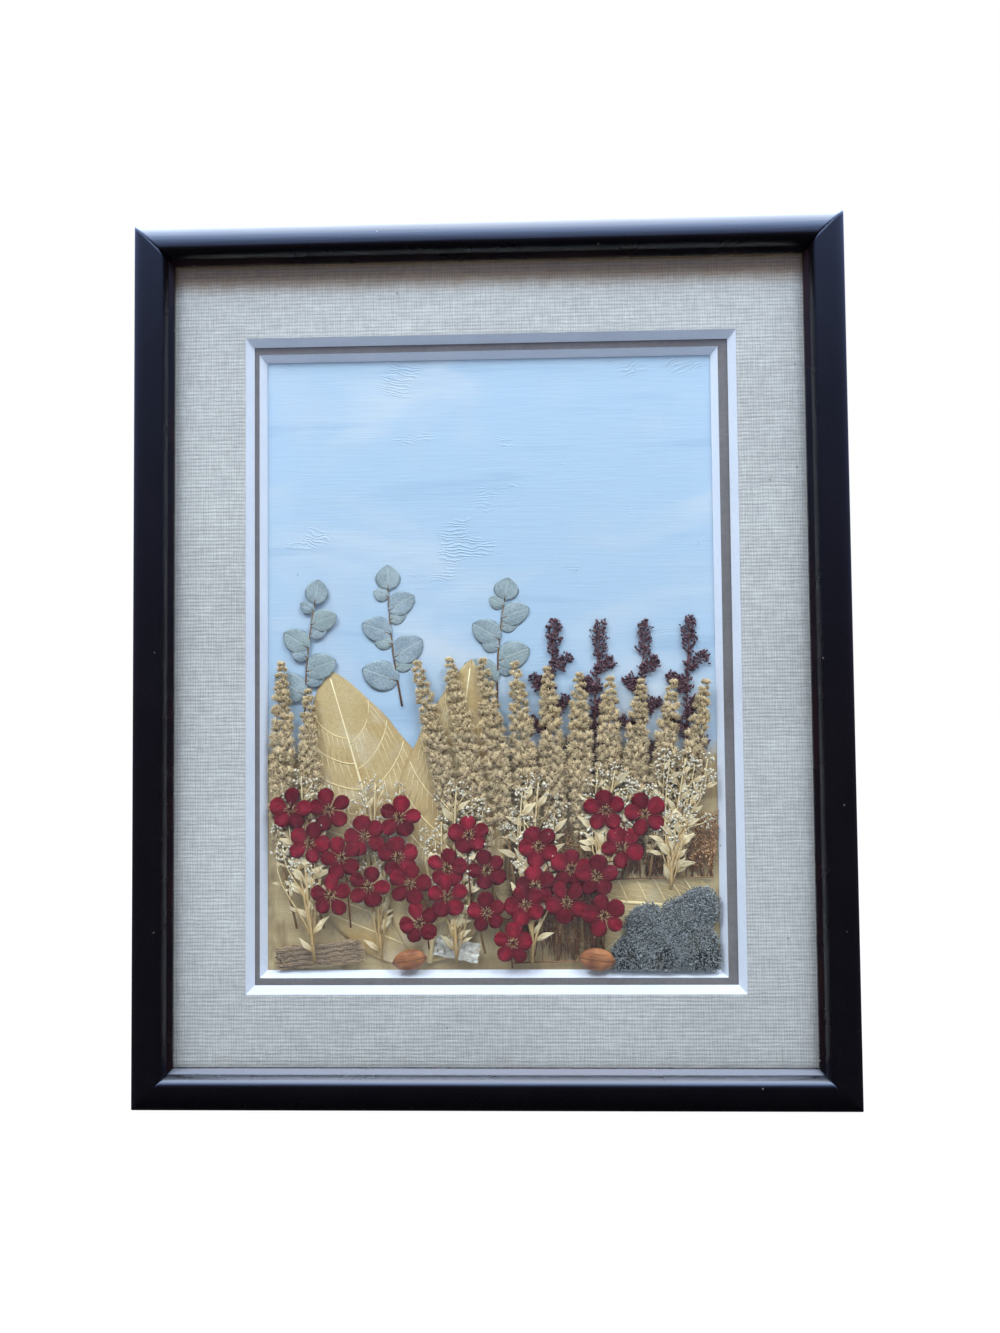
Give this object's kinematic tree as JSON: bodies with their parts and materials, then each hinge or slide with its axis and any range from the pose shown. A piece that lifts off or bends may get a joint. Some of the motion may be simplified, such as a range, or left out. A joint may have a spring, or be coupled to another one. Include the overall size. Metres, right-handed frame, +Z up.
{
  "type": "pressed flower frame",
  "caption": "Shallow upright wall frame: dried leaves, seed spikes, sprays and florets on a painted card under a double bevelled mat and glass, in a rounded moulding.",
  "frame": {"origin": "middle notch of the sawtooth hanger, in the plane of the wood frame's back", "axes": "+X to the right as seen from the front, +Y out of the back to the wall, +Z up"},
  "size_m": [0.3034, 0.0283, 0.3756],
  "materials": {
    "lacquered_wood": "near-black semi-gloss lacquer over turned wood moulding",
    "glass": "clear picture glass",
    "linen_mat": "pale oatmeal linen over white-cored board",
    "taupe_mat": "matte taupe paper over white-cored board",
    "painted_board": "pale blue brushed paint on card",
    "hardboard": "brown pressed hardboard",
    "steel": "zinc-plated sheet steel",
    "straw_leaf": "dried straw-yellow leaf with fine net veins",
    "grey_green_leaf": "pressed translucent grey-green leaf",
    "purple_buds": "dried purple-brown buds",
    "tan_seed": "dried fluffy tan seed heads",
    "silver_spray": "dried silvery cream stems and buds",
    "crimson_petal": "pressed deep crimson petals",
    "russet_twig": "dried reddish-brown twigs",
    "moss": "dried grey-green moss",
    "bark": "fibrous brown bark",
    "birch_bark": "white papery bark",
    "brown_pod": "smooth leathery brown pod"
  },
  "bodies": {
    "root": {"frame_rail_bottom": "lacquered_wood", "frame_rail_left": "lacquered_wood", "frame_rail_right": "lacquered_wood", "frame_rail_top": "lacquered_wood", "glass": "glass", "outer_mat": "linen_mat", "inner_mat": "taupe_mat", "art_board": "painted_board", "backing_board": "hardboard", "framing_point_1": "steel", "framing_point_2": "steel", "framing_point_3": "steel", "framing_point_4": "steel", "hanger_nail_left": "steel", "hanger_nail_right": "steel", "hanger_plate": "steel", "skeleton_leaf_1": "straw_leaf", "skeleton_leaf_2": "straw_leaf", "skeleton_leaf_3": "straw_leaf", "round_leaf_sprig_1": "grey_green_leaf", "round_leaf_sprig_2": "grey_green_leaf", "round_leaf_sprig_3": "grey_green_leaf", "purple_bud_sprig_1": "purple_buds", "purple_bud_sprig_2": "purple_buds", "purple_bud_sprig_3": "purple_buds", "purple_bud_sprig_4": "purple_buds", "seed_spike_1": "tan_seed", "seed_spike_10": "tan_seed", "seed_spike_11": "tan_seed", "seed_spike_12": "tan_seed", "seed_spike_2": "tan_seed", "seed_spike_3": "tan_seed", "seed_spike_4": "tan_seed", "seed_spike_5": "tan_seed", "seed_spike_6": "tan_seed", "seed_spike_7": "tan_seed", "seed_spike_8": "tan_seed", "seed_spike_9": "tan_seed", "silver_spray_1": "silver_spray", "silver_spray_2": "silver_spray", "silver_spray_3": "silver_spray", "silver_spray_4": "silver_spray", "silver_spray_5": "silver_spray", "silver_spray_6": "silver_spray", "red_floret_head_1": "crimson_petal", "red_floret_head_2": "crimson_petal", "red_floret_head_3": "crimson_petal", "red_floret_head_4": "crimson_petal", "red_floret_head_5": "crimson_petal", "red_floret_head_6": "crimson_petal", "red_floret_head_7": "crimson_petal", "red_floret_head_8": "crimson_petal", "red_floret_head_9": "crimson_petal", "undergrowth_left": "russet_twig", "undergrowth_right": "russet_twig", "moss_cushion": "moss", "bark_strip": "bark", "birch_flake": "birch_bark", "seed_pod_1": "brown_pod", "seed_pod_2": "brown_pod"}
  },
  "joints": []
}
